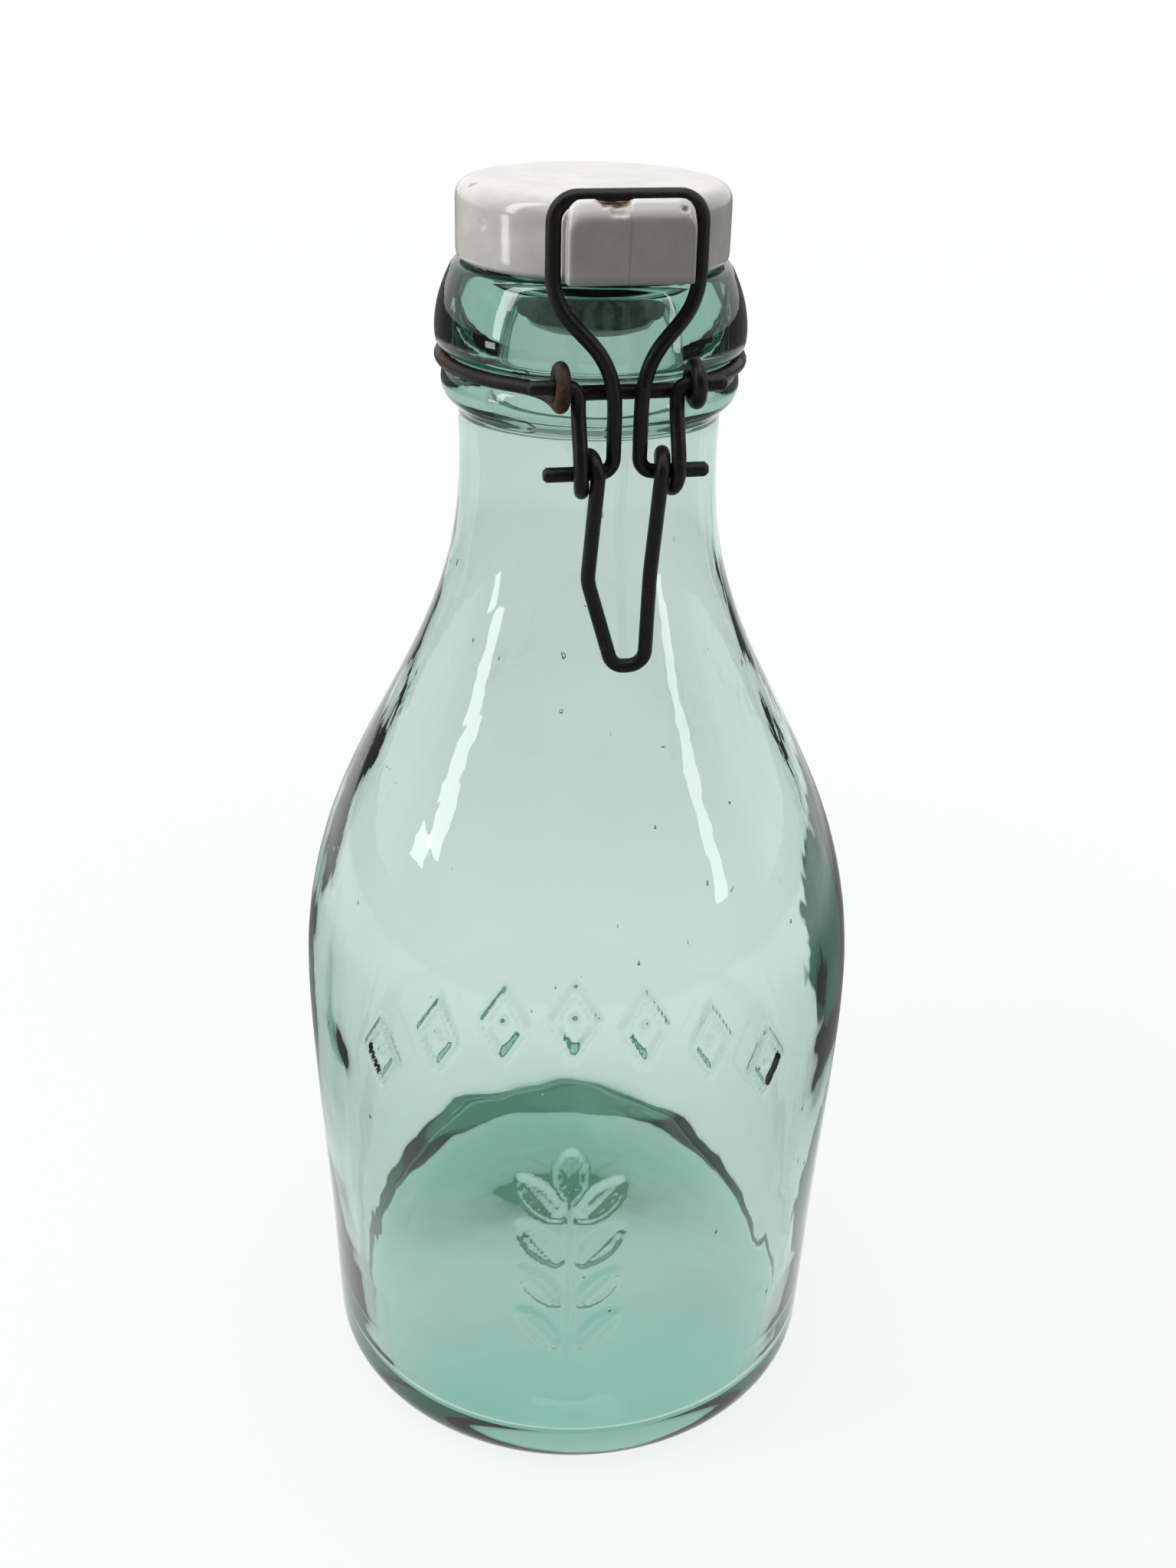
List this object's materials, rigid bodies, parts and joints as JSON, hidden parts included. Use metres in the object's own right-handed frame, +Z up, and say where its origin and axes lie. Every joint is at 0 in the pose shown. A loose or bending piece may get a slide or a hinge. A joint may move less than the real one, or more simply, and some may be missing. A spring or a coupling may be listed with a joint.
{
  "type": "ceramic stopper bottle",
  "caption": "Wide-necked glass bottle with a long shoulder, raised pattern and a hinged ceramic stopper that a wire lever and bail clamp shut on a rubber gasket.",
  "frame": {"origin": "centre of the foot, on the surface that the bottle stands on", "axes": "+Z up along the bottle's axis, -Y towards the closure's lever and bail, +X to the right when looking at the lever"},
  "size_m": [0.1088, 0.1088, 0.2444],
  "materials": {
    "glass": "clear with an aqua tint, smooth, faint waves",
    "glazed_ceramic": "glossy off-white glaze",
    "rubber": "matt",
    "dark_wire": "dark oxidised steel wire",
    "rusty_wire": "oxidised steel wire with brown rust"
  },
  "bodies": {
    "base": {"bottle": "glass", "neck_ring": "rusty_wire"},
    "stopper_body": {"stopper": "glazed_ceramic", "gasket": "rubber"},
    "lever_body": {"lever": "dark_wire"},
    "bail_body": {"bail": "dark_wire"}
  },
  "joints": [
    {"name": "stopper_hinge", "type": "hinge", "parent": "base", "child": "stopper_body", "pos_m": [0, 0.0275, 0.235], "axis": [-1, 0, 0], "range_deg": [0, 105]},
    {"name": "lever_swing", "type": "hinge", "parent": "base", "child": "lever_body", "pos_m": [0, -0.0289, 0.2148], "axis": [-1, 0, 0], "range_deg": [0, 60]},
    {"name": "bail_swing", "type": "hinge", "parent": "lever_body", "child": "bail_body", "pos_m": [0, -0.0292, 0.2009], "axis": [1, 0, 0], "range_deg": [0, 160]}
  ],
  "couplings": [
    {"joint": "lever_swing", "follows": "stopper_hinge", "ratio": 0.5714},
    {"joint": "bail_swing", "follows": "stopper_hinge", "ratio": 1.5238}
  ]
}
